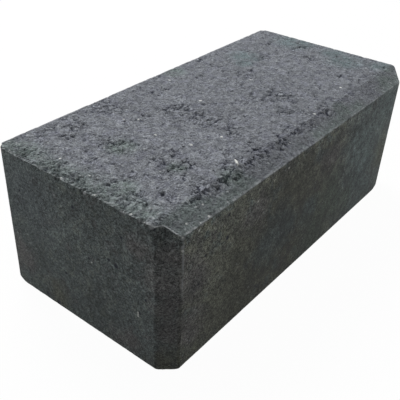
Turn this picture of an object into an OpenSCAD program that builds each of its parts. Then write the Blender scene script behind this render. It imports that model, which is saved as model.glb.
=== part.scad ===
// Concrete wall block: one solid pressed unit with a bevel along its front top edge, upright
// corners cut back in plan, and bottom edges and corners rounded over.
// Origin at the middle of the bed. X runs along the wall, Y from front to back, Z up.

/* [Block] */
// Length along the wall, end face to end face
block_length = 420; // [320:5:520]
// Depth through the wall, front face to back face
block_depth = 200; // [140:5:260]
// Height of one course, bed to top
block_height = 150; // [100:5:220]

/* [Front bevel] */
// How far the bevel reaches in over the top
bevel_reach = 21.5; // [10:0.5:40]
// How far the bevel drops down the front face
bevel_drop = 9; // [4:0.5:20]

/* [Front corners] */
// Left corner cut, measured along the front face
left_cut_front = 14.5; // [6:0.5:40]
// Left corner cut, measured along the end face
left_cut_end = 16; // [6:0.5:40]
// Right corner cut, measured along the front face
right_cut_front = 23; // [6:0.5:40]
// Right corner cut, measured along the end face
right_cut_end = 18; // [6:0.5:40]

/* [Back corners] */
// Back corner cut, the same on both faces
back_cut = 7; // [4:0.5:25]

/* [Eased edges] */
// Radius where a corner cut meets a face
upright_ease = 2; // [0.5:0.5:3]
// Radius along the top edges, and along the lower edge of the bevel
top_ease = 1; // [0.5:0.5:3]
// Radius along the upper edge of the bevel
bevel_ease = 2; // [0.5:0.5:4]
// Radius along the bottom edges
bottom_ease = 2.5; // [1:0.5:5]

/* [Worn bottom corners] */
// How far the left front corner edges roll in under the block and up its side
left_front_toe = 2; // [1:0.5:12]
// How far the other corner edges roll in under the block and up its side
worn_toe = 7.5; // [1:0.5:12]
// Fullness of those rolls: 0 is a flat cut, 1 is a whole quarter round
toe_fullness = 0.85; // [0.4:0.05:0.95]

/* [Hidden] */
half_length = block_length / 2;
half_depth = block_depth / 2;
ease_steps = 5;
over = 20;
plan_points = [
    [left_cut_front - half_length, -half_depth],
    [half_length - right_cut_front, -half_depth],
    [half_length, right_cut_end - half_depth],
    [half_length, half_depth - back_cut],
    [half_length - back_cut, half_depth],
    [back_cut - half_length, half_depth],
    [-half_length, half_depth - back_cut],
    [-half_length, left_cut_end - half_depth]
];
corners = len(plan_points);
concrete_grey = [0.41, 0.42, 0.43];
$fn = 96;

function unit(v) = v / norm(v);

// The directions from corner i of a closed outline to the corners before and after it.
function back_along(points, i) =
    unit(points[(i + len(points) - 1) % len(points)] - points[i]);
function ahead_along(points, i) = unit(points[(i + 1) % len(points)] - points[i]);

// The inward direction that halves the angle at corner i.
function inward(points, i) = unit(back_along(points, i) + ahead_along(points, i));

// A closed outline, its points running anticlockwise, with each corner i eased to radii[i].
function eased(points, radii) = [
    for (i = [0:len(points) - 1])
        let (
            half_angle = acos(back_along(points, i) * ahead_along(points, i)) / 2,
            centre = points[i] + inward(points, i) * radii[i] / sin(half_angle),
            run = back_along(points, i) * radii[i] / tan(half_angle),
            first = points[i] + run - centre,
            start = atan2(first[1], first[0])
        )
        for (k = [0:ease_steps])
            let (angle = start + (180 - 2 * half_angle) * k / ease_steps)
            centre + radii[i] * [cos(angle), sin(angle)]
];

// The block seen from above: a rectangle with its four upright corners cut back.
module plan_outline() {
    polygon(eased(plan_points, [for (i = [1:corners]) upright_ease]));
}

// The block seen from the front.
module front_outline() {
    polygon(eased(
        [[-half_length, 0], [half_length, 0], [half_length, block_height], [-half_length, block_height]],
        [bottom_ease, bottom_ease, top_ease, top_ease]
    ));
}

// The block seen from its left end, with the bevel at the front.
module end_outline() {
    polygon(eased(
        [
            [-half_depth, 0],
            [half_depth, 0],
            [half_depth, block_height],
            [bevel_reach - half_depth, block_height],
            [-half_depth, block_height - bevel_drop]
        ],
        [bottom_ease, bottom_ease, top_ease, bevel_ease, top_ease]
    ));
}

// What comes off a square corner at the origin, with the body towards +X and +Y, to leave
// an arc from toe along one side to toe up the other, bulge proud of its chord.
module roll_off(toe, bulge) {
    radius = (toe * toe / 2 + bulge * bulge) / (2 * bulge);
    difference() {
        translate([-over, -over]) square(toe + bulge + over);
        translate([1, 1] * (toe / 2 + (radius - bulge) * sqrt(0.5))) circle(radius, $fn = 240);
    }
}

// What comes off the bottom of upright corner i, so that its edge rolls into the bed
// square to the line that halves the corner.
module toe_cut(i, toe) {
    middle = inward(plan_points, i);
    quarter_bulge = toe * (1 - sqrt(0.5));
    translate(plan_points[i])
        rotate([90, 0, atan2(middle[1], middle[0])])
            linear_extrude(height = over * 4, center = true)
                roll_off(toe, quarter_bulge * toe_fullness);
}

module wall_block() {
    color(concrete_grey)
        difference() {
            intersection() {
                linear_extrude(height = block_height) plan_outline();
                rotate([90, 0, 90])
                    linear_extrude(height = block_length, center = true) end_outline();
                rotate([90, 0, 0])
                    linear_extrude(height = block_depth, center = true) front_outline();
            }
            for (i = [0, corners - 1]) toe_cut(i, left_front_toe);
            for (i = [1:corners - 2]) toe_cut(i, worn_toe);
        }
}

wall_block();
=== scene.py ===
"""Concrete wall block: a dark grey pressed block with a crumbly top face, a bevelled front edge, smooth mould
sides and cut corners, on a plain studio floor."""

import math
from functools import reduce

import bmesh
import bpy
import numpy as np
from bpy.props import FloatProperty, FloatVectorProperty, IntProperty, PointerProperty
from mathutils import Matrix, Vector
from mathutils.geometry import delaunay_2d_cdt
from mathutils.kdtree import KDTree


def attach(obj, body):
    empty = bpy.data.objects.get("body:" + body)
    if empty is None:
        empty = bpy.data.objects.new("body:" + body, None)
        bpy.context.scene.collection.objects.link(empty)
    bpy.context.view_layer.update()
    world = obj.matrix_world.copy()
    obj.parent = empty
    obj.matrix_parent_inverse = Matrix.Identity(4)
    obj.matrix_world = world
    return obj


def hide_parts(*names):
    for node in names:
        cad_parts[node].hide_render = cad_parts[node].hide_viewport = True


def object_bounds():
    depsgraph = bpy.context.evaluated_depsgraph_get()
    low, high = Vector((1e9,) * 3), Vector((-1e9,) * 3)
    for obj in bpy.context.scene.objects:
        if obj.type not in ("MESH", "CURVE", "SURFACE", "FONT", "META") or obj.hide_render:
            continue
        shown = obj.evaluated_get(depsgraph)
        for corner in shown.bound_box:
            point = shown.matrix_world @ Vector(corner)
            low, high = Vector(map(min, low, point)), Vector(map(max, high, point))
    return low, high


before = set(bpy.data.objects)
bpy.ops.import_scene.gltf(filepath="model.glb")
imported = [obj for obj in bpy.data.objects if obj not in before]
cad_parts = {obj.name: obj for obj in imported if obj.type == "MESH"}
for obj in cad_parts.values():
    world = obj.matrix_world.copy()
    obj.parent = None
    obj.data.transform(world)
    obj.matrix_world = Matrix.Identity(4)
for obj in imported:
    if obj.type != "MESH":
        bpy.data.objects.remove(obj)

bl_info = {
    "name": "Concrete Wall Block",
    "version": (1, 0, 0),
    "blender": (4, 5, 0),
    "location": "View3D > Sidebar > Wall Block",
    "description": "Casts the concrete skin of a wall block and sets up a studio for it",
    "category": "Object",
}

BLOCK_LOW, BLOCK_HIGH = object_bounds()
# A millimetre in metres, and a metre in millimetres.
MM, IN_MM = 0.001, 1000.0

# Places on the block are in millimetres: (x, y, z, reach), or (x, y, reach) where they are seen from above.
LEFT, FRONT, TOP = (round(edge / MM) for edge in (BLOCK_LOW.x, BLOCK_LOW.y, BLOCK_HIGH.z))
LEFT_CUT = (-202, -92)
GRAIN_SUNK = 0.5


def on_top(*places):
    """Grains just under the top, given as (x, y, reach)."""
    return tuple((x, y, TOP - GRAIN_SUNK, reach) for x, y, reach in places)


def on_front(*places):
    """Places on the front, given as (x, z, reach)."""
    return tuple((x, FRONT, z, reach) for x, z, reach in places)


def on_left_end(*places):
    """Places on the left end, given as (y, z, reach)."""
    return tuple((LEFT, y, z, reach) for y, z, reach in places)


def on_left_cut(*places):
    """Places up the middle of the left corner cut, given as (z, reach)."""
    return tuple((*LEFT_CUT, z, reach) for z, reach in places)


# The pressed face: where it is open and crumbly, lighter, duller, green, and bare of green at the foot of
# the bevel.
OPEN_PATCHES = (
    (-131, -35, 19), (-46, 20, 17), (-44, -12, 18), (-46, -32, 13), (-92, 90, 18), (-139, 19, 12),
    (-142, 76, 12), (-141, -52, 10), (-152, 93, 10), (-160, 63, 7), (-165, 4, 5), (60, 74, 8),
    (76, 95, 10), (22, -54, 13), (46, -26, 16), (128, 42, 9), (162, -2, 9), (68, 30, 10), (-78, 44, 5),
    (-84, -57, 7), (-62, -67, 8), (136, -48, 5), (192, 28, 5), (2, 98, 8), (-18, 70, 6), (-201, 9, 7),
    (-184, -20, 7), (-183, -42, 6), (-173, -63, 5),
)
BEVEL_CLUMPS = (
    (-140, -81, 10), (-122, -81, 11), (-106, -80, 11), (-88, -81, 12), (-160, -81, 8), (-64, -80, 8),
    (-30, -80, 11), (-8, -76, 8), (49, -86, 11), (99, -83, 9), (150, -83, 7), (184, -82, 7),
)
# Where the bevel is not quite closed.
LOOSE_BEVEL = ((140, -88, 22), (50, -89, 13))
LIGHT_PATCHES = (
    (-115, 38, 20), (-35, 36, 12), (-110, 6, 14), (-103, -63, 19), (-190, -49, 18), (-176, -67, 14),
    (-84, -22, 14), (-82, 26, 12), (-104, -34, 10), (-24, 48, 12), (-64, 30, 10), (-44, 48, 10),
    (-147, -71, 10), (62, -67, 12),
)
DULL_PATCHES = (
    (60, -93, 30), (-110, -94, 14), (-82, -93, 12), (-28, -10, 9), (-160, 62, 8), (-49, -26, 8),
    (-162, -4, 10),
)
BARE_FOOT = ((-82, -93, 14), (-45, -93, 26), (-8, -93, 10), (125, -92, 20))
GREEN_PATCHES = (
    (114, 62, 17), (96, 50, 10), (200, 45, 24), (182, -33, 20), (196, -10, 14), (196, -72, 14),
    (22, 92, 12), (-139, 17, 13), (-133, -41, 8), (-112, -84, 12), (-186, -30, 12), (-197, -66, 8),
    (-199, 77, 14), (172, -93, 14), (70, -90, 11),
)
# The mould sides: where they are stained, how, and where they are darker and paler.
TEAL_STAINS = on_front(
    (-44, 66, 22), (-66, 66, 22), (2, 58, 14), (112, 95, 34), (129, 60, 34), (165, 122, 26),
)
OLIVE_STAINS = (
    *on_front((-124, 80, 30), (-125, 36, 40), (-168, 25, 26), (-31, 109, 22), (169, 60, 20)),
    *on_left_end((34, 14, 16)),
    *on_left_cut((6, 14)),
)
RED_STAINS = (
    *on_front((-97, 110, 16), (38, 106, 16), (-182, 90, 20), (-184, 40, 18)),
    *on_left_end((85, 38, 18), (-66, 118, 15), (-52, 12, 14)),
    *on_left_cut((120, 14), (95, 14), (70, 14), (45, 14)),
)
GREEN_STAINS = on_front((54, 56, 24), (14, 62, 14), (22, 21, 30), (70, 40, 16), (100, 30, 16))
BLUE_STAINS = on_left_end((62, 110, 34))
DARK_STAINS = (
    *on_front(
        (-60, 92, 30), (-88, 40, 34), (-10, 84, 30), (-20, 40, 34), (40, 100, 30), (30, 30, 36),
        (0, 120, 24), (64, 76, 24), (90, 50, 24), (-112, 64, 30), (-48, 106, 30), (-36, 60, 26),
        (-14, 112, 22), (-72, 118, 16), (29, 68, 16), (-24, 30, 20), (46, 128, 16), (80, 22, 22),
        (-183, 87, 14), (-26, 18, 22), (-110, 12, 24), (82, 19, 20), (44, 124, 16), (80, 112, 16),
    ),
    *on_left_end((-20, 139, 24), (-80, 128, 18), (-66, 140, 16), (-18, 42, 20), (10, 68, 16), (54, 58, 18)),
    *on_left_cut((138, 13)),
)
PALE_STAINS = (
    *on_front(
        (-165, 131, 12), (156, 34, 16), (215, 90, 106), (-190, 130, 34), (-160, 124, 24), (-150, 74, 10),
    ),
    *on_left_end((84, 137, 12), (-14, 130, 9), (78, 52, 12), (30, 78, 30)),
    *on_left_cut((90, 14), (30, 14)),
)
# Pinholes in the mould sides, painted dark as shade, chips along the arrises, and single bright grains of
# sand.
PITS = (
    *on_front(
        (-138, 108, 2.1), (-175, 82, 1.4), (-167, 107, 1.4), (-138, 131, 1.6), (-29, 54, 1.7),
        (-21, 54, 1.7), (12, 84, 1.7),
    ),
    *on_left_end(
        (-43, 92, 2.4), (4, 128, 1.7), (-35, 94, 1.6), (-75, 74, 1.4), (-50, 124, 1.4), (-68, 56, 1.4),
        (21, 49, 1.4), (-11, 83, 1.3), (74, 114, 1.4), (51, 7, 2.4), (36, 5, 2.2),
    ),
)
CHIPS = (
    *on_front((-172, 141.5, 3.0), (-195.5, 139.5, 2.6), (-195.5, 131, 2.2)),
    *on_left_end((-52, 150, 3.5), (-70, 149, 3.0), (-10, 149, 3.0), (-80, 147, 2.4)),
    (-160, -99, 142, 2.0),
)
BRIGHT_GRAINS = (
    *on_top(
        (-190, 3, 0.9), (-188, 41, 1.2), (35, -76, 1.6), (-102, 10, 1.2), (-95, -26, 1.3), (-99, 53, 1.2),
        (-90, 42, 1.1), (-17, 25, 1.5), (-65, -37, 1.2), (110, -65, 1.2), (62, 18, 1.2), (1, 81, 1.3),
    ),
    *on_front((-177, 137, 1.1), (-48, 134, 1.1), (-95, 122, 1.1)),
    *on_left_end((-66.2, 55.5, 1.0), (-66.2, 53.5, 0.9), (-66.2, 51.5, 0.9), (-14, 80, 0.8)),
    (-208, 18, 149, 1.0), (-208, -21, 149, 1.0), (-208, -59, 149, 1.2), (-208, -72, 148.5, 1.2),
    (-173, -98, 141.8, 1.1), (-184, -93, 143.9, 0.9), (-163, -98, 141.8, 1.0), (-158, -88, 146, 0.9),
    (-195.3, -99, 140, 1.0), (-195.5, -99.2, 128, 1.1),
)
# The spall at the top of the left corner cut: the middle of its arch, and, in millimetres, half its width,
# how far back and down it runs, and how far below the top it is whole. It is pushed in square to the cut,
# and its width is along the cut.
SPALL_MIDDLE = (-205.2, -89.3, 150.0)
SPALL_HALF_WIDTH, SPALL_REACH, SPALL_DROP, SPALL_WHOLE = 13.0, 20.0, 22.0, 4.0
SPALL_INWARD, SPALL_ALONG = (0.741, 0.671, 0.0), (-0.671, 0.741, 0.0)
# A pale sliver of stone in the top: its middle, its half length and half width, in millimetres, and its turn.
SLIVER_MIDDLE = (-93.0, -73.4, 149.6)
SLIVER_HALF_LENGTH, SLIVER_HALF_WIDTH, SLIVER_TURN = 5.4, 1.3, math.radians(51.7)

# The rest is in metres. Along Y: the crease between the top and the bevel.
CREASE = -0.079
# Along X: from where to where the crumbly left arris fades in.
LEFT_ARRIS = (-0.203, -0.208)
# The arris between the left corner cut and the front, seen from above.
CUT_ARRIS = (-0.1953, -0.0999, 0.0)
# Depths that are not settings: the pressed face's swell and pits, and the grain and swell of the sides.
SWELL_DEPTH, PIT_DEPTH = 0.0008, 0.0004
SIDE_GRAIN_DEPTH, SIDE_SWELL_DEPTH = 0.00015, 0.0003
# The relief is pressed towards a core this far inside the block.
CORE_INSET = 0.02
# What the shade group lightens and darkens by.
SHADES = ("Speck", "Grain", "Mottle")
# The settings that the relief takes as they are.
RELIEF_SETTINGS = (
    "Lump Size", "Crumb Size", "Crevice Depth", "Fleck Depth", "Grain Depth",
    "Arris Wear", "Notch Depth", "Chip Depth", "Spall Depth",
)

# The skin: corners this near are merged, faces that turn less than this are joined, and an edge that turns
# more than this is an arris.
WELD, FLAT_TURN, ARRIS_TURN = 2e-6, math.radians(0.2), math.radians(12)
# How far the finer meshing reaches: from the front and the left end, down the top of the left corner cut,
# down from the rim above the front and the left end, down from the other rims, round the left arris, and up
# from the bed.
NEAR_FACE, CUT_TOP, SHOWN_RIM, HIDDEN_RIM, NEAR_ARRIS, NEAR_BED = 0.018, 0.024, 0.012, 0.003, 0.004, 0.003
# In shares of the spacing: how near an edge a point may come, how uneven the last gap of an edge may be,
# and how far a point is shaken from its grid. A stop this near the end of its edge is left out.
EDGE_GAP, UNEVEN, SHAKE = 0.45, 0.6, 0.32
NEAR_END = 1e-5
# The mesher fills only what is inside an outline, and takes points this near each other for one, in
# millimetres.
INSIDE, ONE_POINT = 1, 1e-6
# A face is pressed where its normal looks up by more than this. On the points the pressed face fades in
# from the second of these over a span of the third.
PRESSED_UP, FADE_FROM, FADE_SPAN = 0.35, 0.2, 0.5

FLOOR_HALF = 9.0
# The tone of the floor's own paper where the camera sees it.
FLOOR_SEEN = (0.95, 0.95, 0.95)
# Each lamp: its name, its setting, its place and its width.
LAMPS = (
    ("key_lamp", "key_strength", (0.55, 1.35, 1.9), 1.3),
    ("left_lamp", "left_strength", (-1.3, 1.2, 0.8), 1.0),
    ("right_lamp", "right_strength", (1.5, -1.1, 0.7), 1.0),
)
LAMP_TARGET = (0.0, 0.0, 0.07)
# The camera stands in front of the left corner and looks down on the block, turned a little on its axis.
CAMERA_PLACE = (-0.48078, -0.32379, 0.41515)
CAMERA_RIGHT, CAMERA_BACK = (0.633371, -0.773408, 0.026108), (-0.647746, -0.511399, 0.564708)
CAMERA_SENSOR, CAMERA_LENS, CAMERA_SHIFT = 36.0, 56.32, (0.0415, 0.0196)

FLOAT, VECTOR, COLOUR, GEOMETRY = (f"NodeSocket{kind}" for kind in ("Float", "Vector", "Color", "Geometry"))


# ------------------------ node wiring


def is_socket(value):
    return isinstance(value, bpy.types.NodeSocket)


def tree_of(*values):
    """The node tree of the first socket among some values."""
    return next(v.id_data for v in values if is_socket(v))


def join(inputs, values):
    """Joins each value to the input of that name or number: a socket by a link, and the rest as it is."""
    for key, value in values.items():
        if is_socket(value):
            value.id_data.links.new(value, inputs[key])
        else:
            inputs[key].default_value = value


def add(tree, kind, inputs=None, **settings):
    """Adds a node, sets it up, joins its inputs and gives back its outputs."""
    node = tree.nodes.new(kind)
    for name, value in settings.items():
        setattr(node, name, value)
    join(node.inputs, inputs or {})
    return node.outputs


def calc(operation, *values):
    return add(tree_of(*values), "ShaderNodeMath", dict(enumerate(values)), operation=operation)[0]


def times(*values):
    return reduce(lambda a, b: calc("MULTIPLY", a, b), values)


def plus(*values):
    return reduce(lambda a, b: calc("ADD", a, b), values)


def most(*values):
    return reduce(lambda a, b: calc("MAXIMUM", a, b), values)


def minus(a, b):
    return calc("SUBTRACT", a, b)


def rest(share):
    """What a share leaves of 1."""
    return minus(1.0, share)


def apart(value, middle):
    """How far a value is from a middle, on either side."""
    return calc("ABSOLUTE", minus(value, middle))


def vector(operation, a, b=None, scale=None):
    inputs = {key: v for key, v in {0: a, 1: b, "Scale": scale}.items() if v is not None}
    outputs = add(tree_of(a, b, scale), "ShaderNodeVectorMath", inputs, operation=operation)
    return outputs["Value" if operation in ("DISTANCE", "DOT_PRODUCT") else "Vector"]


def xyz(at):
    return add(at.id_data, "ShaderNodeSeparateXYZ", {0: at})


def flat(at):
    """A place seen from above, without its height."""
    return vector("MULTIPLY", at, (1.0, 1.0, 0.0))


def metres(place):
    return [v * MM for v in place]


def ramp(value, low, high, out_low=0.0, out_high=1.0, kind="SMOOTHSTEP"):
    """Maps low..high to out_low..out_high with soft ends, and holds both ends."""
    inputs = {"Value": value, "From Min": low, "From Max": high, "To Min": out_low, "To Max": out_high}
    return add(tree_of(value), "ShaderNodeMapRange", inputs, interpolation_type=kind)["Result"]


def slope(*values):
    """A ramp that is straight between its ends."""
    return ramp(*values, kind="LINEAR")


def per_metre(size):
    return calc("DIVIDE", 1.0, size) if is_socket(size) else 1.0 / size


def noise(at, size, detail=2.0, rough=0.5, output="Fac"):
    """Cloudy noise whose features are about size metres across."""
    inputs = {"Vector": at, "Scale": per_metre(size), "Detail": detail, "Roughness": rough}
    return add(at.id_data, "ShaderNodeTexNoise", inputs)[output]


def swayed(at, size, reach, detail=2.0, rough=0.5):
    """Places moved about by cloudy noise, at most half of reach each way."""
    sway = vector("SUBTRACT", noise(at, size, detail, rough, "Color"), (0.5, 0.5, 0.5))
    return vector("ADD", at, vector("SCALE", sway, scale=reach))


def cells(at, size, feature="F1", dimensions="3D"):
    """Cells about size metres across."""
    inputs = {"Vector": at, "Scale": per_metre(size)}
    return add(at.id_data, "ShaderNodeTexVoronoi", inputs, feature=feature, voronoi_dimensions=dimensions)


def one_channel(colour, channel="Red"):
    tree = colour.id_data
    owner = "ShaderNode" if tree.bl_idname == "ShaderNodeTree" else "FunctionNode"
    return add(tree, owner + "SeparateColor", {0: colour})[channel]


def rgba(colour, share=1.0):
    """A share of a colour, as a shader takes it."""
    return (*(channel * share for channel in colour[:3]), 1.0)


def mix(amount, a, b):
    """From colour a to colour b by an amount. Each may be a socket or a plain colour."""
    a, b = (v if is_socket(v) else rgba(v) for v in (a, b))
    return add(tree_of(amount), "ShaderNodeMix", {0: amount, 6: a, 7: b}, data_type="RGBA")[2]


def spots(at, places, soft=0.5):
    """A mask that is 1 in the middle of each place and fades out over its reach."""
    masks = []
    for *centre, reach in places:
        away = vector("DISTANCE", at, (metres(centre) + [0.0])[:3])
        masks.append(ramp(away, reach * MM * (1 + soft), reach * MM * (1 - soft)))
    return most(*masks)


def start_group(kind, name, inputs):
    """Starts a node group. Each input is named, with its socket type, or its default if it is a number."""
    tree = bpy.data.node_groups.new(name, kind)
    for label, about in inputs.items():
        is_number = isinstance(about, float)
        socket = FLOAT if is_number else about
        made = tree.interface.new_socket(name=label, in_out="INPUT", socket_type=socket)
        if is_number:
            made.default_value = about
    return tree, tree.nodes.new("NodeGroupInput").outputs


def end_group(tree, outputs, socket=FLOAT):
    """Gives a node group its named outputs, all of one socket type, and joins them."""
    for label in outputs:
        tree.interface.new_socket(name=label, in_out="OUTPUT", socket_type=socket)
    join(tree.nodes.new("NodeGroupOutput").inputs, outputs)
    return tree


def place_group(group, inputs):
    """Places a node group in the tree of the sockets that it is given."""
    tree = tree_of(*inputs.values())
    return add(tree, tree.bl_idname.replace("Tree", "Group"), inputs, node_tree=group)


# ------------------------ patterns shared by the relief and the finish


def crumb_group(kind):
    """Where the pressed face is open and where it is closed, its lumps and crumbs with the crevices between,
    its flecks and its pits. The relief and the finish both use it, so that the dark crevices, painted partly
    as dirt and partly as shade, are where the hollows are."""
    inputs = {"Position": VECTOR, "Lump Size": 0.006, "Crumb Size": 0.003}
    tree, given = start_group(kind, "pressed_crumbs_" + kind[:6].lower(), inputs)
    plan = flat(given["Position"])
    x, y, _ = xyz(given["Position"])
    loose_plan = flat(swayed(plan, 0.022, 0.026))
    loose_x, loose_y, _ = xyz(loose_plan)
    # the bevel is closed, but for clumps along its upper edge
    bevel = ramp(y, CREASE + 0.0012, CREASE - 0.0012)
    closed = ramp(plus(y, ramp(x, 0.070, 0.030, 0.0, 0.0045)), -0.0810, -0.0870)
    closed = times(closed, rest(times(spots(plan, LOOSE_BEVEL), 0.7)))
    rim = times(ramp(loose_x, -0.176, -0.200), ramp(y, -0.086, -0.070))
    crease = ramp(apart(loose_y, CREASE), 0.013, 0.004)
    crease = times(crease, ramp(x, -0.175, -0.150), ramp(x, 0.080, 0.040, 0.2, 1.0))
    opened = plus(
        times(spots(loose_plan, OPEN_PATCHES, 0.8), 0.265),
        slope(noise(plan, 0.020, 4.0, 0.75), 0.0, 1.0, -0.20, 1.20),
        times(rim, 0.14),
        times(spots(loose_plan, BEVEL_CLUMPS, 0.8), 0.19),
        times(crease, 0.11),
    )
    # lumps and crumbs with crevices round them, broken up
    bent = swayed(plan, 0.005, 0.0045)
    lump = cells(bent, given["Lump Size"], "F1", "2D")
    lump_edge = cells(bent, given["Lump Size"], "DISTANCE_TO_EDGE", "2D")["Distance"]
    lump_breaks = ramp(noise(plan, 0.009, 1.0), 0.34, 0.50)
    crumb = cells(bent, given["Crumb Size"], "F1", "2D")
    crumb_edge = cells(bent, given["Crumb Size"], "DISTANCE_TO_EDGE", "2D")["Distance"]
    crumb_breaks = ramp(noise(plan, 0.007, 3.0, 0.7), 0.45, 0.57)
    # small torn holes, thicker in some places than in others, and pits
    often = slope(noise(plan, 0.028, 2.0), 0.35, 0.65, 0.03, -0.05)
    fleck = ramp(minus(noise(plan, 0.0052, 2.0, 0.6), often), 0.64, 0.72)
    hole = cells(plan, 0.0024, "F1", "2D")
    pit = times(ramp(one_channel(hole["Color"], "Blue"), 0.30, 0.14), ramp(hole["Distance"], 0.50, 0.22))
    outputs = {
        "Open": times(ramp(opened, 0.54, 0.88), rest(closed)),
        "Crevice": times(ramp(lump_edge, 0.15, 0.06), lump_breaks),
        "Crumb Crevice": times(ramp(crumb_edge, 0.24, 0.10), crumb_breaks, rest(times(closed, 0.5))),
        "Lump": one_channel(lump["Color"], "Green"),
        "Dome": ramp(lump["Distance"], 0.75, 0.1),
        "Crumb": one_channel(crumb["Color"], "Green"),
        "Fleck": times(fleck, rest(times(closed, 0.6))),
        "Pit": pit,
        "Bevel": bevel,
        "Rim": rim,
    }
    return end_group(tree, outputs)


def stone_sliver(at):
    """A mask of the one long pale stone that shows in the pressed face."""
    away = vector("SUBTRACT", at, metres(SLIVER_MIDDLE))
    cos, sin = math.cos(SLIVER_TURN), math.sin(SLIVER_TURN)
    squares = []
    for direction, half in (((cos, sin, 0.0), SLIVER_HALF_LENGTH), ((-sin, cos, 0.0), SLIVER_HALF_WIDTH)):
        share = calc("DIVIDE", vector("DOT_PRODUCT", away, direction), half * MM)
        squares.append(times(share, share))
    return ramp(plus(*squares), 1.0, 0.6)


# ------------------------ the skin


def merged_solid():
    """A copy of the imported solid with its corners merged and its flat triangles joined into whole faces."""
    work = bmesh.new()
    work.from_mesh(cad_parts["wall_block"].data)
    bmesh.ops.remove_doubles(work, verts=work.verts, dist=WELD)
    bmesh.ops.dissolve_limit(work, angle_limit=FLAT_TURN, verts=work.verts, edges=work.edges)
    work.normal_update()
    work.verts.index_update()
    work.edges.index_update()
    return work


def mesh_level(points):
    """How coarse the skin may be at each point: 0 along the crumbly left arris, 1 on the rest of the
    pressed face, near its rim and down the spalled top of the left corner cut, 2 on the rest of the front
    and the left end, 3 on the back and the right end, and 4 underneath. Each level doubles the spacing."""
    x, y, z = np.atleast_2d(points).T
    from_top = BLOCK_HIGH.z - z
    by_left, by_front = x < BLOCK_LOW.x + NEAR_FACE, y < BLOCK_LOW.y + NEAR_FACE
    shown = by_left | by_front
    level = np.where(shown, 2, 3)
    level = np.where((z < NEAR_BED) & ~shown, 4, level)
    level = np.where(by_left & by_front & (from_top < CUT_TOP), 1, level)
    level = np.where(from_top < np.where(shown, SHOWN_RIM, HIDDEN_RIM), 1, level)
    left_arris = (x < BLOCK_LOW.x + NEAR_ARRIS) & (from_top < NEAR_ARRIS)
    return np.where(left_arris, 0, level)


def stops_along(start, end, pitch):
    """Points between two corners, as far apart as the level there allows, stretched to fill the edge
    evenly."""
    length = (end - start).length
    walked, stops = 0.0, []
    while True:
        here = np.array(start.lerp(end, walked / length))
        step = pitch * 2 ** int(mesh_level(here)[0])
        walked += step
        if walked > length - EDGE_GAP * step:
            break
        stops.append(walked)
    if stops:
        last = stops[-1]
        step = pitch * 2 ** int(mesh_level(np.array(end))[0])
        nearly_even = abs(length - last - step) < UNEVEN * step
        stretch = length / (last + step) if nearly_even else 1.0
        stops = [s * stretch for s in stops if s * stretch < length - NEAR_END]
    return [start.lerp(end, s / length) for s in stops]


def inner_points(corners, origin, u, v, pitch, rng):
    """Points spread over a flat face, in its own plane, clear of its edges."""
    edge = np.array([((c - origin).dot(u), (c - origin).dot(v)) for c in corners])
    low, high = edge.min(0), edge.max(0)
    i, j = (np.arange(math.floor(low[k] / pitch), math.ceil(high[k] / pitch) + 1) for k in (0, 1))
    grid_i, grid_j = (a.ravel() for a in np.meshgrid(i, j, indexing="ij"))
    spot = np.stack([grid_i, grid_j], 1) * pitch
    step = 2 ** mesh_level(np.array(origin) + spot[:, :1] * np.array(u) + spot[:, 1:] * np.array(v))
    keep = (grid_i % step == 0) & (grid_j % step == 0)
    spot, step = spot[keep], step[keep]
    spot = spot + rng.uniform(-SHAKE, SHAKE, spot.shape) * pitch * step[:, None]
    along = np.roll(edge, -1, 0) - edge
    inward = np.stack([-along[:, 1], along[:, 0]], 1) / np.linalg.norm(along, axis=1)[:, None]
    clear = np.min(np.einsum("pek,ek->pe", spot[:, None, :] - edge[None], inward), axis=1)
    return spot[clear > EDGE_GAP * pitch * step]


def edge_chains(work, points, pitch):
    """Adds the points along each edge, and gives their numbers by edge, and those of all points on
    arrises."""
    chains, sharp = {}, []
    for edge in work.edges:
        a, b = edge.verts
        first = len(points)
        points.extend(stops_along(a.co, b.co, pitch))
        chains[edge.index] = list(range(first, len(points)))
        if len(edge.link_faces) == 2 and edge.calc_face_angle() > ARRIS_TURN:
            sharp += [a.index, b.index] + chains[edge.index]
    return chains, sharp


def mesh_face(face, points, chains, pitch, rng):
    """Adds the points inside a flat face, and gives the triangles that fill it."""
    normal = face.normal
    level = abs(normal.z) >= 0.9
    u = Vector((1, 0, 0)) if level else Vector((0, 0, 1)).cross(normal).normalized()
    v = normal.cross(u).normalized()
    origin = normal * face.verts[0].co.dot(normal)
    rim = []
    for loop in face.loops:
        chain = chains[loop.edge.index]
        rim.append(loop.vert.index)
        rim += chain if loop.edge.verts[0] == loop.vert else chain[::-1]
    inner = inner_points([l.vert.co for l in face.loops], origin, u, v, pitch, rng)
    outline = [Vector(((points[i] - origin).dot(u), (points[i] - origin).dot(v))) * IN_MM for i in rim]
    first = len(points)
    points.extend(origin + u * s[0] + v * s[1] for s in inner)
    known = rim + list(range(first, len(points)))
    outline += [Vector(s) * IN_MM for s in inner]
    made = delaunay_2d_cdt(outline, [], [list(range(len(rim)))], INSIDE, ONE_POINT)
    source = [known[o[0]] if o else None for o in made[3]]
    triangles = [[source[c] for c in corner] for corner in made[2]]
    if any(None in ids or len(set(ids)) < 3 for ids in triangles):
        raise RuntimeError("a face of the block did not mesh cleanly")
    return triangles


def mark(mesh, name, kind, domain, values):
    mesh.attributes.new(name, kind, domain).data.foreach_set("value", values)


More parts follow.
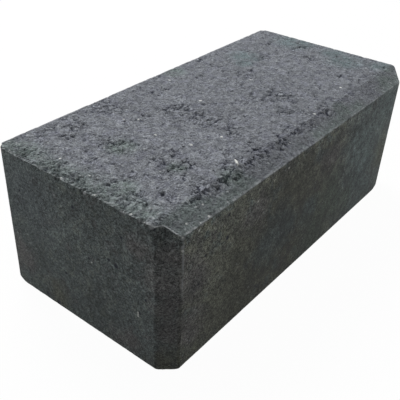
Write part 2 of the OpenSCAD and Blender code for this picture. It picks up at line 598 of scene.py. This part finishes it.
def fine_skin(name, pitch, seed):
    """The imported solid's surface, meshed finely enough to carry the relief. It stores on each point how far
    it is from the nearest arris and how much it belongs to the pressed face."""
    work = merged_solid()
    rng = np.random.default_rng(seed)
    points = [v.co.copy() for v in work.verts]
    chains, sharp = edge_chains(work, points, pitch)
    triangles, pressed_faces = [], []
    for face in work.faces:
        made = mesh_face(face, points, chains, pitch, rng)
        triangles += made
        pressed_faces += [face.normal.z > PRESSED_UP] * len(made)
    work.free()
    mesh = bpy.data.meshes.new(name)
    mesh.from_pydata([tuple(p) for p in points], [], triangles)
    mesh.validate()
    mesh.update()
    arrises = KDTree(len(sharp))
    for i in sharp:
        arrises.insert(points[i], i)
    arrises.balance()
    away = np.array([arrises.find(p)[2] for p in points], dtype=np.float32)
    up = np.array([n.vector.z for n in mesh.vertex_normals], dtype=np.float32)
    pressed = np.clip((up - FADE_FROM) / FADE_SPAN, 0, 1).astype(np.float32)
    mark(mesh, "arris_distance", "FLOAT", "POINT", away)
    mark(mesh, "pressed_face", "BOOLEAN", "FACE", pressed_faces)
    mark(mesh, "pressed", "FLOAT", "POINT", pressed)
    mesh.shade_smooth()
    return mesh


def read_attribute(tree, name, kind="FLOAT"):
    return add(tree, "GeometryNodeInputNamedAttribute", {"Name": name}, data_type=kind)["Attribute"]


def pressed_depth(at, given, crumbs, grain, swell):
    """How deep the texture of the pressed face goes."""
    opened = crumbs["Open"]
    crumb_open = most(plus(times(opened, 0.55), 0.45), crumbs["Rim"])
    hollow = plus(
        times(crumbs["Crevice"], opened),
        times(crumbs["Crumb Crevice"], crumb_open, 0.45),
        times(rest(crumbs["Lump"]), opened, 0.35),
        times(rest(crumbs["Dome"]), opened, 0.30),
        times(rest(crumbs["Crumb"]), crumb_open, 0.14),
    )
    depth = plus(
        times(hollow, given["Crevice Depth"]),
        times(crumbs["Fleck"], given["Fleck Depth"], rest(times(crumbs["Bevel"], 0.5))),
        times(plus(grain, 0.3), times(given["Grain Depth"], 2.0)),
        times(plus(swell, 0.12), SWELL_DEPTH),
        times(crumbs["Pit"], PIT_DEPTH),
    )
    return times(depth, rest(stone_sliver(at)))


def arris_depth(at, given, crumbs, arris, firm):
    """How deep the arrises are worn, and the left one notched between its crumbs. The bottom ones are
    hardly worn."""
    x, _, z = xyz(at)
    ragged = ramp(noise(at, 0.006, 3.0, 0.65), 0.45, 0.75)
    exposed = times(ramp(z, 0.02, 0.12, 0.25, 1.0), rest(times(firm, 0.6)))
    worn = times(ramp(arris, 0.0032, 0.0003), ragged, exposed, given["Arris Wear"])
    crumbly = times(
        ramp(x, *LEFT_ARRIS),
        ramp(arris, 0.0036, 0.0008),
        ramp(z, 0.140, 0.147),
        ramp(noise(at, 0.030, 1.0), 0.42, 0.58, 0.25, 1.0),
        ramp(crumbs["Crumb"], 0.42, 0.18),
    )
    return worn, times(crumbly, given["Notch Depth"])


def spall_shift(at, given):
    """How the top of the left corner cut is spalled back, level, in an arch."""
    away = vector("SUBTRACT", at, metres(SPALL_MIDDLE))
    back = ramp(vector("DOT_PRODUCT", away, SPALL_INWARD), SPALL_REACH * MM, 0.0)
    aside = calc("ABSOLUTE", vector("DOT_PRODUCT", away, SPALL_ALONG))
    low = ramp(xyz(at)["Z"], (SPALL_MIDDLE[2] - SPALL_DROP) * MM, (SPALL_MIDDLE[2] - SPALL_WHOLE) * MM)
    spall = times(back, ramp(aside, SPALL_HALF_WIDTH * MM, 0.0), low, given["Spall Depth"])
    return vector("SCALE", SPALL_INWARD, scale=spall)


def relief_tree(sizes, top, sides):
    """Sinks each point of the skin below the block's outline by the depth of the texture there, and gives
    the pressed face and the sides their finishes."""
    inputs = {"Geometry": GEOMETRY, **sizes, "Core Low": VECTOR, "Core High": VECTOR}
    tree, given = start_group("GeometryNodeTree", "block_relief", inputs)
    at = add(tree, "GeometryNodeInputPosition")[0]
    pressed, arris = read_attribute(tree, "pressed"), read_attribute(tree, "arris_distance")
    crumb_sizes = {name: given[name] for name in ("Lump Size", "Crumb Size")}
    crumbs = place_group(crumb_group("GeometryNodeTree"), {"Position": at, **crumb_sizes})
    grain = minus(noise(at, 0.0021, 2.0, 0.7), 0.5)
    swell = minus(noise(at, 0.035, 2.0), 0.5)
    x, y, _ = xyz(at)
    firm = most(ramp(x, -0.200, -0.190), ramp(y, 0.086, 0.096))
    depth = pressed_depth(at, given, crumbs, grain, swell)
    depth = times(depth, rest(times(firm, ramp(arris, 0.004, 0.0, 0.0, 0.7))))
    side = plus(times(plus(grain, 0.4), SIDE_GRAIN_DEPTH), times(plus(swell, 0.5), SIDE_SWELL_DEPTH))
    worn, notched = arris_depth(at, given, crumbs, arris, firm)
    depth = plus(
        times(most(depth, 0.0), pressed),
        times(most(side, 0.0), rest(pressed)),
        worn,
        notched,
        times(spots(swayed(at, 0.003, 0.003), CHIPS, 0.4), given["Chip Depth"]),
    )
    # straight in on a flat, and on the diagonal at an arris, so that the skin never folds
    core = vector("MINIMUM", vector("MAXIMUM", at, given["Core Low"]), given["Core High"])
    inward = vector("NORMALIZE", vector("SUBTRACT", core, at))
    shift = vector("ADD", vector("SCALE", inward, scale=depth), spall_shift(at, given))
    skin = add(tree, "GeometryNodeSetPosition", {"Geometry": given["Geometry"], "Offset": shift})[0]
    skin = add(tree, "GeometryNodeRealizeInstances", {0: skin})[0]
    skin = add(tree, "GeometryNodeSetMaterial", {"Geometry": skin, "Material": sides})[0]
    is_top = read_attribute(tree, "pressed_face", "BOOLEAN")
    skin = add(tree, "GeometryNodeSetMaterial", {"Geometry": skin, "Selection": is_top, "Material": top})[0]
    return end_group(tree, {"Geometry": skin}, GEOMETRY)


def run_tree(piece, tree, values):
    """Runs a tree on a piece with the given named values, and leaves the result as the piece's plain mesh."""
    modifier = piece.modifiers.new("maker", "NODES")
    modifier.node_group = tree
    for item in tree.interface.items_tree:
        if item.item_type == "SOCKET" and item.in_out == "INPUT" and item.name in values:
            modifier[item.identifier] = values[item.name]
    depsgraph = bpy.context.evaluated_depsgraph_get()
    made = bpy.data.meshes.new_from_object(
        piece.evaluated_get(depsgraph), preserve_all_data_layers=True, depsgraph=depsgraph
    )
    piece.modifiers.clear()
    old, piece.data = piece.data, made
    made.name = piece.name
    bpy.data.meshes.remove(old)
    if not made.polygons:
        raise RuntimeError(f"{piece.name} came out empty")


# ------------------------ finishes


def grain_group():
    """The fine grain of concrete: specks of sand in three sizes, cloudy grain, mottling and pale grains."""
    sizes = {"Speck Size": 0.0015, "Grain Size": 0.012, "Mottle Size": 0.03}
    inputs = {"Position": VECTOR, **sizes, "Light Share": 0.05, "Coarse Share": 0.5}
    tree, given = start_group("ShaderNodeTree", "concrete_grain", inputs)
    at, coarse = given["Position"], given["Coarse Share"]
    specks = []
    for step, channel, share in (
        (1.0, "Red", rest(coarse)),
        (1.75, "Green", times(coarse, 0.6)),
        (3.0, "Blue", times(coarse, 0.4)),
    ):
        sized = cells(at, times(given["Speck Size"], step))["Color"]
        specks.append(times(one_channel(sized, channel), share))
    speck = plus(*specks)
    grain = slope(noise(at, given["Grain Size"], 4.0, 0.9), 0.3, 0.7)
    pale = cells(at, 0.0030)
    lucky = calc("LESS_THAN", one_channel(pale["Color"]), given["Light Share"])
    outputs = {
        "Speck": speck,
        "Grain": grain,
        "Mottle": noise(at, given["Mottle Size"]),
        "Light Grains": times(lucky, ramp(pale["Distance"], 0.5, 0.2)),
        "Height": plus(times(grain, 0.7), times(speck, 0.8)),
    }
    return end_group(tree, outputs)


def shade_group():
    """Lightens and darkens a colour with the specks, grain and mottling, each by its own amount. With no
    sparkle the light and the dark are even; with sparkle the light grains stand out more, and are plain
    grey."""
    amounts = {"Speck Amount": 0.3, "Grain Amount": 0.5, "Mottle Amount": 0.2}
    inputs = {"Color": COLOUR, **dict.fromkeys(SHADES, 0.5), **amounts, "Sparkle": 1.0, "Lift": 1.0}
    tree, given = start_group("ShaderNodeTree", "concrete_shade", inputs)
    swing = plus(*(times(minus(given[shade], 0.5), given[shade + " Amount"]) for shade in SHADES))
    even = most(plus(swing, 1.0), 0.12)
    glint = times(minus(calc("POWER", math.e, swing), even), given["Sparkle"])
    glint = times(glint, one_channel(given["Color"], "Green"), given["Lift"])
    lit = vector("SCALE", given["Color"], scale=times(even, given["Lift"]))
    return end_group(tree, {"Color": vector("ADD", lit, glint)}, COLOUR)


def empty_tree(owner):
    owner.use_nodes = True
    owner.node_tree.nodes.clear()
    return owner.node_tree


def start_finish(name):
    """A new material: its shader, joined to its output, and where each point of it is."""
    finish = bpy.data.materials.new(name)
    tree = empty_tree(finish)
    shader = tree.nodes.new("ShaderNodeBsdfPrincipled")
    shader.inputs["Specular IOR Level"].default_value = 0.3
    add(tree, "ShaderNodeOutputMaterial", {"Surface": shader.outputs[0]})
    return finish, shader, add(tree, "ShaderNodeTexCoord")["Object"]


def end_finish(shader, colour, grain, roughness, height, strength, distance):
    """Joins a finish's colour, its roughness from low to high, and its bump to its shader."""
    relief = {"Height": height, "Strength": strength, "Distance": distance}
    values = {
        "Base Color": colour,
        "Roughness": slope(grain["Grain"], 0.0, 1.0, *roughness),
        "Normal": add(colour.id_data, "ShaderNodeBump", relief)[0],
    }
    join(shader.inputs, values)


def shaded(shades, grain, values):
    """A colour given its grain by the shade group."""
    return place_group(shades, {**{shade: grain[shade] for shade in SHADES}, **values})["Color"]


def arris_distance(at):
    return add(at.id_data, "ShaderNodeAttribute", attribute_name="arris_distance")["Fac"]


def pressed_green(at, crumbs, cloud):
    """How green the pressed face is: in its patches, at the foot of the bevel and along the left rim."""
    x, y, _ = xyz(at)
    plan = flat(at)
    foot = ramp(plus(y, ramp(x, -0.135, -0.165, 0.0, -0.010)), -0.0840, -0.0940)
    foot = times(foot, ramp(spots(plan, BARE_FOOT, 0.6), 0.0, 1.0, 0.85, 0.1))
    green = most(spots(plan, GREEN_PATCHES, 0.6), foot, times(crumbs["Rim"], 0.85))
    return times(green, ramp(cloud, 0.38, 0.55, 0.45, 1.0))


def pressed_lift(at, crumbs):
    """How light each place of the pressed face is."""
    x, y, _ = xyz(at)
    plan = flat(at)
    tone = plus(
        times(minus(crumbs["Lump"], 0.45), crumbs["Open"], 0.45),
        times(minus(crumbs["Crumb"], 0.5), 0.22),
        times(spots(plan, LIGHT_PATCHES, 0.8), 0.09),
    )
    tone = minus(tone, times(spots(plan, DULL_PATCHES, 0.8), 0.11))
    tone = minus(tone, times(ramp(x, -0.188, -0.202, 0.0, 0.075), ramp(y, -0.045, -0.015)))
    return plus(minus(1.162, times(crumbs["Bevel"], 0.220)), tone)


def pressed_dirt_and_shade(crumbs, left_arris):
    """Where the pressed face is dark, partly with dirt and partly with painted shade: its crevices, flecks
    and pits, and between the crumbs of its left arris."""
    opened = crumbs["Open"]
    crumb_open = most(plus(times(opened, 0.05), 0.50), times(crumbs["Rim"], 0.85))
    return most(
        times(crumbs["Crevice"], opened),
        times(crumbs["Crumb Crevice"], crumb_open, 0.75),
        times(crumbs["Fleck"], 0.8),
        times(crumbs["Pit"], 0.45),
        times(left_arris, ramp(crumbs["Crumb"], 0.40, 0.20, 0.0, 0.7)),
    )


def pressed_pale(at, grain, crumbs, left_arris):
    """Where the pressed face is pale: its light grains, its worn rim and arrises, the edge of the spall,
    and chips."""
    x, y, _ = xyz(at)
    from_arris = arris_distance(at)
    worn = times(ramp(from_arris, 0.0016, 0.0002), ramp(noise(at, 0.006), 0.42, 0.62))
    front_arris = times(ramp(from_arris, 0.0026, 0.0006), ramp(x, 0.06, -0.12, 0.35, 1.0))
    front_arris = times(front_arris, ramp(y, -0.080, -0.086))
    from_spall = vector("DISTANCE", at, metres(SPALL_MIDDLE))
    return most(
        times(grain["Light Grains"], 0.7),
        times(worn, 0.6),
        times(front_arris, ramp(crumbs["Crumb"], 0.52, 0.80, 0.0, 0.80)),
        times(ramp(from_spall, 0.019, 0.013), ramp(from_arris, 0.0020, 0.0008), 0.9),
        times(left_arris, ramp(crumbs["Crumb"], 0.62, 0.85, 0.0, 0.5)),
        times(spots(at, CHIPS, 0.3), 0.5),
    )


def top_finish(s, grains, shades):
    """The pressed face: bluish grey with green patches, crevices and flecks painted dark partly as dirt and
    partly as shade, pale grains and a pale worn rim."""
    finish, shader, at = start_finish("pressed_concrete")
    sizes = {"Speck Size": 0.0010, "Mottle Size": 0.03}
    grain = place_group(grains, {"Position": at, **sizes, "Light Share": 0.06, "Coarse Share": 0.42})
    crumbs = place_group(
        crumb_group("ShaderNodeTree"),
        {"Position": at, "Lump Size": s.lump_size, "Crumb Size": s.crumb_size},
    )
    x, y, _ = xyz(at)
    cloud = noise(flat(at), 0.012, 3.0, 0.7)
    green = pressed_green(at, crumbs, cloud)
    cyan = times(ramp(x, 0.0, 0.08), ramp(y, -0.086, -0.070))
    colour = mix(ramp(cloud, 0.46, 0.64), s.top_colour, s.violet_colour)
    colour = mix(green, colour, mix(cyan, s.green_colour, s.cyan_colour))
    # the specks are plainest at the left, in the open patches and on the right half of the bevel
    speck_amount = times(slope(x, -0.14, 0.14, 1.58, 0.50), ramp(crumbs["Open"], 0.0, 0.6, 0.76, 1.12))
    speck_amount = times(speck_amount, plus(times(crumbs["Bevel"], ramp(x, -0.05, 0.05, 0.0, 0.75)), 1.0))
    amounts = {
        "Color": colour,
        "Speck Amount": speck_amount,
        "Grain Amount": 0.75,
        "Mottle Amount": ramp(x, 0.0, 0.14, 0.15, 0.32),
        "Sparkle": 0.25,
        "Lift": pressed_lift(at, crumbs),
    }
    colour = shaded(shades, grain, amounts)
    left_arris = times(ramp(arris_distance(at), 0.0042, 0.0010), ramp(x, *LEFT_ARRIS))
    # crevices, flecks, pits and the notches of the left arris are painted dark: partly dirt, partly painted
    # shade in the hollows
    dark = pressed_dirt_and_shade(crumbs, left_arris)
    colour = mix(times(dark, 0.83), colour, mix(green, s.crevice_dirt_and_shade_colour, s.green_crevice_dirt_and_shade_colour))
    colour = mix(pressed_pale(at, grain, crumbs, left_arris), colour, s.pale_grain_colour)
    sliver = stone_sliver(at)
    bright = most(sliver, times(spots(at, BRIGHT_GRAINS, 0.3), 0.75))
    colour = mix(bright, colour, s.sliver_colour)
    height = plus(minus(grain["Height"], times(dark, 1.2)), sliver)
    end_finish(shader, colour, grain, (0.82, 0.98), height, strength=0.9, distance=0.0012)
    return finish


def side_colour(s, at, stained, front, end):
    """The colour of the mould sides with their stains."""
    tint = noise(at, 0.012, 3.0, 0.8)
    olive = times(front, ramp(xyz(at)["X"], 0.110, 0.020), 0.8)
    cool = times(ramp(noise(at, 0.016, 3.0, 0.75), 0.49, 0.37, 0.0, 0.75), front)
    colour = mix(times(end, 0.5), s.side_colour, s.side_teal_colour)
    colour = mix(plus(olive, ramp(tint, 0.50, 0.62, 0.0, 0.35)), colour, s.side_olive_colour)
    colour = mix(ramp(tint, 0.46, 0.36, 0.0, 0.5), colour, s.side_red_colour)
    colour = mix(cool, colour, s.side_teal_colour)
    for places, stain in (
        (OLIVE_STAINS, s.side_olive_colour),
        (RED_STAINS, s.side_red_colour),
        (GREEN_STAINS, s.side_green_colour),
        (TEAL_STAINS, s.side_teal_colour),
        (BLUE_STAINS, s.side_blue_colour),
    ):
        colour = mix(times(spots(stained, places, 0.7), 0.85), colour, stain)
    return colour


def side_lift(at, stained, front, end):
    """How light each place of the mould sides is: lighter upwards, with painted shade towards the foot,
    lighter in pale stains and darker in dark ones.
    """
    x, _, z = xyz(at)
    streak = noise(vector("MULTIPLY", at, (1.0, 1.0, 0.2)), 0.006, 2.0, 0.6)
    # painted shade: the sides grow darker downwards, towards the floor
    lift = plus(
        slope(z, 0.0, 0.15, 0.785, 0.955),
        times(spots(stained, PALE_STAINS, 0.9), 0.24),
        times(spots(stained, DARK_STAINS, 0.8), -0.27),
        slope(streak, 0.3, 0.7, -0.04, 0.04),
    )
    # the front is darker in its middle, has painted shade at its foot, and is lighter under the bevel
    middle = ramp(apart(x, -0.028), 0.105, 0.020, 0.0, 0.134)
    brow = times(ramp(z, 0.122, 0.141, 0.0, 0.085), ramp(x, 0.09, 0.04))
    brow = minus(brow, ramp(z, 0.015, 0.003, 0.0, 0.055))
    lift = plus(minus(lift, times(middle, front)), times(brow, front))
    return times(lift, rest(plus(times(end, 0.040), times(front, 0.012))))


def side_pale(at, grain):
    """Where the mould sides are pale: their light grains, their worn arrises, the arris of the left cut,
    and chips."""
    x, _, z = xyz(at)
    worn = times(ramp(arris_distance(at), 0.0022, 0.0003), ramp(noise(at, 0.006), 0.45, 0.70))
    cut_arris = times(
        ramp(vector("DISTANCE", flat(at), CUT_ARRIS), 0.0015, 0.0006),
        ramp(noise(at, 0.009, 2.0), 0.42, 0.60, 0.10, 0.65),
        ramp(z, 0.06, 0.11),
    )
    return most(
        times(grain["Light Grains"], 0.5),
        times(worn, ramp(x, -0.2085, -0.2040, 0.04, 0.3)),
        cut_arris,
        times(spots(at, CHIPS, 0.3), 0.9),
    )


def side_finish(s, grains, shades):
    """The mould sides: close dark concrete with a fine sandy grain, faint upright streaks, stains, a few
    pores painted dark as shade, and painted shade towards the foot."""
    finish, shader, at = start_finish("mould_side_concrete")
    sizes = {"Speck Size": 0.00075, "Mottle Size": 0.04}
    grain = place_group(grains, {"Position": at, **sizes, "Light Share": 0.02, "Coarse Share": 0.53})
    x, y, _ = xyz(at)
    front, end = ramp(y, -0.0970, -0.0990), ramp(x, -0.2078, -0.2094)
    stained = swayed(at, 0.025, 0.05, 3.0, 0.6)
    # the specks are plainest at the left and in the middle, fade to the right and the back, and are a little
    # calmer on the left corner cut
    calmer = rest(times(ramp(x, -0.1945, -0.1965), ramp(x, -0.2097, -0.2085), 0.12))
    speck_amount = times(slope(x, 0.02, 0.14, 3.62, 1.78), slope(y, -0.05, 0.08, 1.0, 0.72), calmer)
    # the cloudy grain is plainest on the front, most of all in its middle
    cloudy = ramp(apart(x, 0.01), 0.190, 0.050, 0.25, 1.75)
    amounts = {
        "Color": side_colour(s, at, stained, front, end),
        "Speck Amount": speck_amount,
        "Grain Amount": plus(calmer, times(front, cloudy)),
        "Mottle Amount": plus(times(front, 0.40), 0.10),
        "Sparkle": 0.3,
        "Lift": side_lift(at, stained, front, end),
    }
    colour = shaded(shades, grain, amounts)
    # pores and pinholes are painted dark with the crevice colour: painted shade in holes too small for the
    # skin's mesh
    pore = cells(at, 0.013)
    chosen = calc("LESS_THAN", one_channel(pore["Color"]), 0.12)
    pores = most(times(chosen, ramp(pore["Distance"], 0.11, 0.05)), spots(at, PITS, 0.4))
    colour = mix(times(pores, 0.97), colour, rgba(s.crevice_dirt_and_shade_colour, 0.3))
    colour = mix(side_pale(at, grain), colour, rgba(s.pale_grain_colour, 0.8))
    colour = mix(times(spots(at, BRIGHT_GRAINS, 0.3), 0.60), colour, s.sliver_colour)
    height = minus(grain["Height"], times(pores, 2.0))
    end_finish(shader, colour, grain, (0.80, 0.95), height, strength=0.6, distance=0.0006)
    return finish


# ------------------------ settings


def length(name, text, default, low, high):
    limits = {"min": low, "max": high, "unit": "LENGTH", "subtype": "DISTANCE", "precision": 5}
    return FloatProperty(name=name, description=text, default=default, **limits)


def colour(name, text, default):
    limits = {"size": 3, "min": 0, "max": 1, "subtype": "COLOR"}
    return FloatVectorProperty(name=name, description=text, default=default, **limits)


def power(name, text, default):
    return FloatProperty(name=name, description=text, default=default, min=0, unit="POWER")


class WallBlockSettings(bpy.types.PropertyGroup):
    skin_pitch: length("Skin Pitch", "Spacing of the mesh at the crumbly left arris", 0.000625, 0.0005, 0.003)
    lump_size: length("Lump Size", "Width of a lump in the open patches", 0.0082, 0.003, 0.02)
    crumb_size: length("Crumb Size", "Width of a crumb", 0.0030, 0.002, 0.01)
    crevice_depth: length("Crevice Depth", "Depth of the crevices between lumps", 0.0020, 0.0, 0.004)
    fleck_depth: length("Fleck Depth", "Depth of the small torn holes in the top", 0.0010, 0.0, 0.004)
    grain_depth: length("Grain Depth", "Height of the fine grain on the pressed face", 0.0004, 0.0, 0.001)
    arris_wear: length("Arris Wear", "Most that the arrises are worn back", 0.0010, 0.0, 0.004)
    notch_depth: length("Notch Depth", "Depth of the notches in the left arris", 0.0013, 0.0, 0.003)
    chip_depth: length("Chip Depth", "Depth of the chips along the arrises", 0.0010, 0.0, 0.004)
    spall_depth: length("Spall Depth", "How far the left cut's top is spalled back", 0.0072, 0.0, 0.012)
    seed: IntProperty(name="Seed", description="Changes the spread of the skin's points", default=7, min=0)
    top_colour: colour("Top Colour", "Bluish grey of the pressed face", (0.184, 0.195, 0.213))
    violet_colour: colour("Violet Cloud Colour", "Clouds on the pressed face", (0.178, 0.187, 0.216))
    green_colour: colour("Green Patch Colour", "Patches at the left end", (0.153, 0.183, 0.177))
    cyan_colour: colour("Cyan Patch Colour", "Patches at the right end", (0.148, 0.184, 0.196))
    # The crevice colours are partly dirt and partly painted shade: they darken the crevices, flecks and pits
    # of the pressed face and the pores of the sides.
    crevice_dirt_and_shade_colour: colour("Crevice Colour", "Bluish dark of the crevices and flecks", (0.026, 0.031, 0.055))
    green_crevice_dirt_and_shade_colour: colour("Green Crevice Colour", "Crevices in the green patches", (0.020, 0.034, 0.034))
    pale_grain_colour: colour("Pale Grain Colour", "Pale grains and fresh arrises", (0.38, 0.40, 0.41))
    sliver_colour: colour("Stone Sliver Colour", "Long pale stone in the pressed face", (0.85, 0.86, 0.83))
    side_colour: colour("Side Colour", "Cool grey of the mould sides", (0.104, 0.120, 0.119))
    side_olive_colour: colour("Olive Side Colour", "Olive grey of the mould sides", (0.112, 0.117, 0.094))
    side_red_colour: colour("Reddish Side Colour", "Reddish grey of the mould sides", (0.116, 0.114, 0.113))
    side_green_colour: colour("Green Stain Colour", "Green stains on the mould sides", (0.096, 0.119, 0.099))
    side_teal_colour: colour("Teal Stain Colour", "Greenish blue stains on the sides", (0.094, 0.118, 0.118))
    side_blue_colour: colour("Blue Stain Colour", "Blue grey stains on the sides", (0.095, 0.112, 0.117))


class WallBlockStageSettings(bpy.types.PropertyGroup):
    key_strength: power("Key Light", "Power of the large lamp behind", 50.0)
    left_strength: power("Left Light", "Power of the lamp at the left", 7.5)
    right_strength: power("Right Light", "Power of the lamp at the right", 9.0)
    sky_strength: FloatProperty(
        name="Room Light", description="Strength of the even light of the room", default=0.16, min=0
    )
    floor_colour: colour("Floor Colour", "Colour of the floor in the room's light", (0.42, 0.42, 0.42))
    floor_white: FloatProperty(
        name="Floor White", description="How near to plain white the floor looks", default=0.97, min=0, max=1
    )


# ------------------------ operators


class WALLBLOCK_OT_cast(bpy.types.Operator):
    """Cast the block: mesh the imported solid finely, press the texture into it and finish it in concrete"""

    bl_idname = "wallblock.cast"
    bl_label = "Cast Block"

    def execute(self, context):
        s = context.scene.wall_block
        grains, shades = grain_group(), shade_group()
        skin = fine_skin("wall_block_concrete", s.skin_pitch, s.seed)
        piece = bpy.data.objects.new("wall_block_concrete", skin)
        context.scene.collection.objects.link(piece)
        sizes = {name: getattr(s, name.lower().replace(" ", "_")) for name in RELIEF_SETTINGS}
        inset = Vector((CORE_INSET,) * 3)
        core = {"Core Low": BLOCK_LOW + inset, "Core High": BLOCK_HIGH - inset}
        tree = relief_tree(sizes, top_finish(s, grains, shades), side_finish(s, grains, shades))
        run_tree(piece, tree, {**sizes, **core})
        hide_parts("wall_block")
        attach(piece, "root")
        return {"FINISHED"}


def seen_directly(tree):
    """1 for rays that show the surroundings as they are: straight from the camera, mirrored or through
    glass."""
    path = add(tree, "ShaderNodeLightPath")
    return most(path["Is Camera Ray"], path["Is Glossy Ray"], path["Is Transmission Ray"])


def make_floor(s):
    """A plain floor, lit as pale paper and seen as white."""
    half = FLOOR_HALF
    mesh = bpy.data.meshes.new("floor")
    corners = [(-half, -half, 0), (half, -half, 0), (half, half, 0), (-half, half, 0)]
    mesh.from_pydata(corners, [], [(0, 1, 2, 3)])
    paper = bpy.data.materials.new("floor_paper")
    tree = empty_tree(paper)
    direct = add(tree, "ShaderNodeLightPath")["Is Camera Ray"]
    tone = mix(direct, s.floor_colour, FLOOR_SEEN)
    plain = add(tree, "ShaderNodeBsdfDiffuse", {"Color": tone})[0]
    white = add(tree, "ShaderNodeEmission", {"Strength": 1.0})[0]
    share = times(seen_directly(tree), s.floor_white)
    mixed = add(tree, "ShaderNodeMixShader", {0: share, 1: plain, 2: white})[0]
    add(tree, "ShaderNodeOutputMaterial", {"Surface": mixed})
    mesh.materials.append(paper)
    return bpy.data.objects.new("floor", mesh)


def make_room(s):
    """The even light of the room, seen as white."""
    world = bpy.data.worlds.new("room")
    tree = empty_tree(world)
    level = slope(seen_directly(tree), 0.0, 1.0, s.sky_strength, 1.0)
    sky = add(tree, "ShaderNodeBackground", {"Color": (1, 1, 1, 1), "Strength": level})[0]
    add(tree, "ShaderNodeOutputWorld", {"Surface": sky})
    return world


def make_lamp(name, strength, place, size):
    data = bpy.data.lights.new(name, "AREA")
    data.shape, data.size, data.energy = "DISK", size, strength
    lamp = bpy.data.objects.new(name, data)
    lamp.location = place
    lamp.rotation_euler = (Vector(LAMP_TARGET) - Vector(place)).to_track_quat("-Z", "Y").to_euler()
    return lamp


def make_camera():
    data = bpy.data.cameras.new("camera")
    data.sensor_width, data.lens = CAMERA_SENSOR, CAMERA_LENS
    data.shift_x, data.shift_y = CAMERA_SHIFT
    camera = bpy.data.objects.new("camera", data)
    back = Vector(CAMERA_BACK).normalized()
    up = back.cross(Vector(CAMERA_RIGHT)).normalized()
    turn = Matrix((up.cross(back), up, back)).transposed().to_4x4()
    camera.matrix_world = Matrix.Translation(CAMERA_PLACE) @ turn
    return camera


class WALLBLOCK_OT_stage(bpy.types.Operator):
    """Set up the studio: a plain pale floor, soft lamps, the room's light and the camera"""

    bl_idname = "wallblock.stage"
    bl_label = "Set Up Stage"

    def execute(self, context):
        s = context.scene.wall_block_stage
        scene = context.scene
        scene.view_settings.view_transform = "Standard"
        floor = make_floor(s)
        scene.collection.objects.link(floor)
        scene.world = make_room(s)
        for name, setting, place, size in LAMPS:
            scene.collection.objects.link(make_lamp(name, getattr(s, setting), place, size))
        scene.camera = make_camera()
        scene.collection.objects.link(scene.camera)
        return {"FINISHED"}


class WALLBLOCK_PT_panel(bpy.types.Panel):
    """Sizes and colours of the wall block, and the steps that make it"""

    bl_label = "Wall Block"
    bl_idname = "WALLBLOCK_PT_panel"
    bl_space_type = "VIEW_3D"
    bl_region_type = "UI"
    bl_category = "Wall Block"

    def draw(self, context):
        for title, group, operator in (
            ("Block", context.scene.wall_block, "wallblock.cast"),
            ("Stage", context.scene.wall_block_stage, "wallblock.stage"),
        ):
            box = self.layout.box()
            box.label(text=title)
            for name in group.__annotations__:
                box.prop(group, name)
            box.operator(operator)


CLASSES = (
    WallBlockSettings,
    WallBlockStageSettings,
    WALLBLOCK_OT_cast,
    WALLBLOCK_OT_stage,
    WALLBLOCK_PT_panel,
)


def register():
    for cls in CLASSES:
        bpy.utils.register_class(cls)
    bpy.types.Scene.wall_block = PointerProperty(type=WallBlockSettings)
    bpy.types.Scene.wall_block_stage = PointerProperty(type=WallBlockStageSettings)


def unregister():
    del bpy.types.Scene.wall_block_stage
    del bpy.types.Scene.wall_block
    for cls in reversed(CLASSES):
        bpy.utils.unregister_class(cls)


def main():
    register()
    bpy.ops.wallblock.stage()
    bpy.ops.wallblock.cast()


if __name__ == "__main__":
    main()
